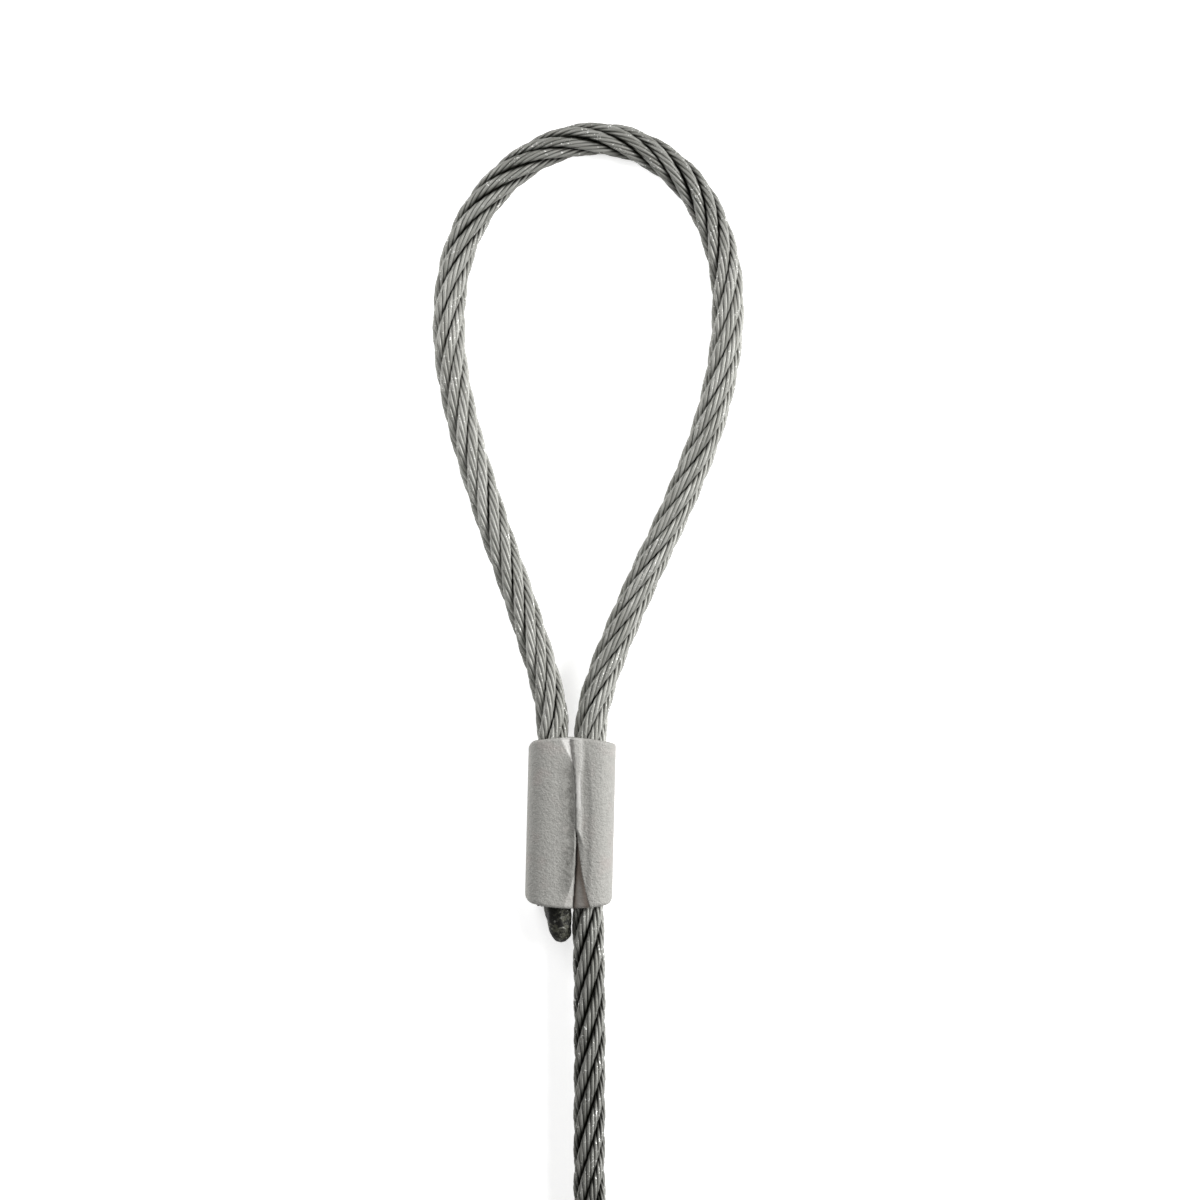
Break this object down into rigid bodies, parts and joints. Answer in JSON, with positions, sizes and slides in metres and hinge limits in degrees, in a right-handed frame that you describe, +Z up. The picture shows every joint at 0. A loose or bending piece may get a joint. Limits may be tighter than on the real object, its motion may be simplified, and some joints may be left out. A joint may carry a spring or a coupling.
{
  "type": "wire rope sling",
  "caption": "Galvanised wire rope sling: a soft eye pressed in a crimped metal ferrule, a fused dead end, and the spare rope wound in a tied coil.",
  "frame": {"origin": "middle of the ferrule's flat back face", "axes": "+Y along the ferrule towards the eye, +X to the right seen from above, +Z up from the surface that the sling lies on"},
  "size_m": [0.0418, 0.1474, 0.0155],
  "materials": {
    "ferrule_metal": "matt, pressed",
    "rope_steel": "galvanised wires",
    "fused_steel": "scorched and rough",
    "tie_coating": "smooth coating"
  },
  "bodies": {
    "root": {"ferrule": "ferrule_metal", "rope_dead_leg": "rope_steel", "rope_live_leg": "rope_steel", "rope_eye": "rope_steel", "fused_dead_end": "fused_steel", "rope_standing": "rope_steel", "rope_coil": "rope_steel", "rope_tail": "rope_steel", "fused_far_end": "fused_steel", "coil_tie_1": "tie_coating", "coil_tie_2": "tie_coating", "coil_tie_3": "tie_coating"}
  },
  "joints": []
}
